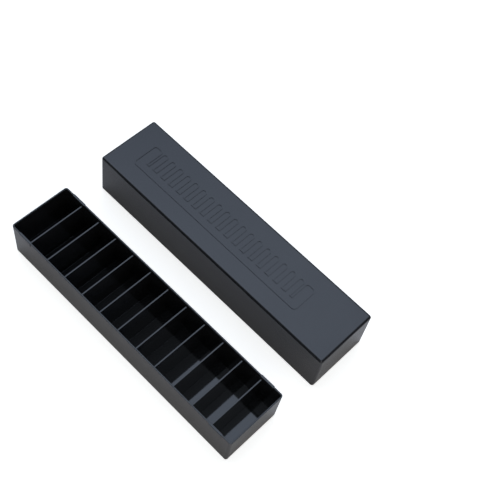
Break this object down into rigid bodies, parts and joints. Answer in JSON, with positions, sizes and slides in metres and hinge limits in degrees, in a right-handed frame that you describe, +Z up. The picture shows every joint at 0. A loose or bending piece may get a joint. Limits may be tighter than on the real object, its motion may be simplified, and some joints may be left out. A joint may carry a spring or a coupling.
{
  "type": "clipper blade and guard comb case",
  "caption": "Long open tray with equal cross compartments for clipper blades or guard combs, and the loose deep lid that fits over it, standing beside it.",
  "frame": {"origin": "on the surface both pieces stand on, at the centre of the outline that tray and lid cover together", "axes": "+X along the case's length, +Y from the tray to the lid beside it, +Z up, out of the tray's open side"},
  "size_m": [0.2504, 0.153, 0.0442],
  "materials": {
    "tray_plastic": "black moulded plastic, satin outside and glossy in the compartments",
    "lid_plastic": "black moulded plastic with a fine satin grain"
  },
  "bodies": {
    "tray": {"tray": "tray_plastic"},
    "lid": {"lid": "lid_plastic"}
  },
  "joints": [
    {"name": "lid_carry", "type": "slide", "parent": "tray", "child": "lid", "axis": [-0.0083, -0.6532, 0.7571], "range_m": [0, 0.14528]}
  ]
}
